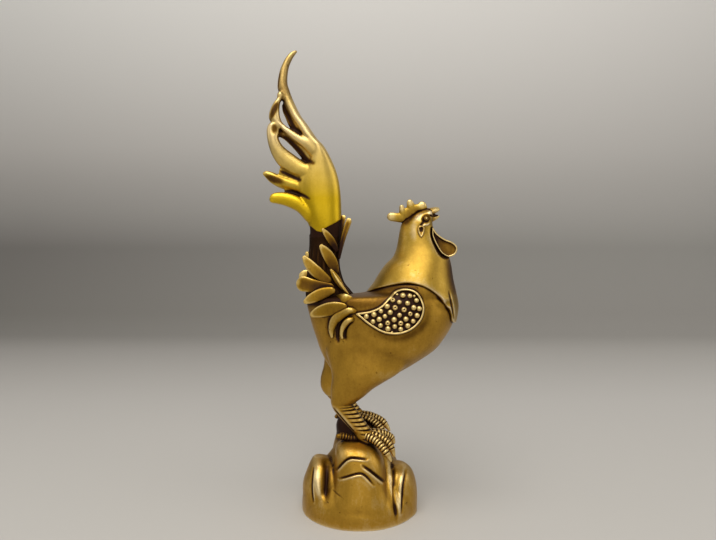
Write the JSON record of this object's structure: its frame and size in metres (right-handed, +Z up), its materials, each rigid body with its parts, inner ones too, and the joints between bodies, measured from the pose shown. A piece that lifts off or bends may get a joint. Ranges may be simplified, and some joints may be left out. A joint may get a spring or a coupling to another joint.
{
  "type": "rooster ornament",
  "caption": "Cast brass rooster ornament on a hollow rock, with an upright leafy tail stem and a tall flame-shaped plume; free-standing, fixed casting",
  "frame": {"origin": "Middle of the round foot ring, on the plane it rests on", "axes": "+X the way the rooster faces, +Z up, +Y its left side"},
  "size_m": [0.1036, 0.06, 0.2407],
  "materials": {
    "rock_base": "cast, antiqued",
    "right_leg": "cast, antiqued",
    "left_leg": "cast, antiqued",
    "body": "cast, brushed",
    "neck_and_head": "cast, brushed",
    "trim": "cast, polished edges",
    "leaves": "cast, dark patina",
    "plume": "cast, brushed"
  },
  "bodies": {
    "root": {"comb": "trim", "upper_beak": "trim", "lower_beak": "trim", "right_eye": "trim", "left_eye": "trim", "right_ear_lobe": "trim", "left_ear_lobe": "trim", "right_wattle": "trim", "left_wattle": "trim", "right_wing_beads": "trim", "left_wing_beads": "trim", "right_wing": "body", "left_wing": "body", "right_upper_wing_feather": "leaves", "left_upper_wing_feather": "leaves", "right_lower_wing_feather": "leaves", "left_lower_wing_feather": "leaves", "right_saddle_feather": "leaves", "left_saddle_feather": "leaves", "tail_stem": "leaves", "tail_plume": "plume", "right_tail_leaf_1": "leaves", "right_tail_leaf_2": "leaves", "right_tail_leaf_3": "leaves", "right_tail_leaf_4": "leaves", "right_tail_leaf_5": "leaves", "right_tail_leaf_6": "leaves", "right_tail_leaf_7": "leaves", "right_tail_leaf_8": "leaves", "left_tail_leaf_1": "leaves", "left_tail_leaf_2": "leaves", "left_tail_leaf_3": "leaves", "left_tail_leaf_4": "leaves", "left_tail_leaf_5": "leaves", "left_tail_leaf_6": "leaves", "left_tail_leaf_7": "leaves", "left_tail_leaf_8": "leaves", "tail_front_leaf_1": "leaves", "tail_front_leaf_2": "leaves", "tail_front_leaf_3": "leaves", "rock_base": "rock_base", "right_leg": "right_leg", "left_leg": "left_leg", "body": "body", "neck_and_head": "neck_and_head"}
  },
  "joints": []
}
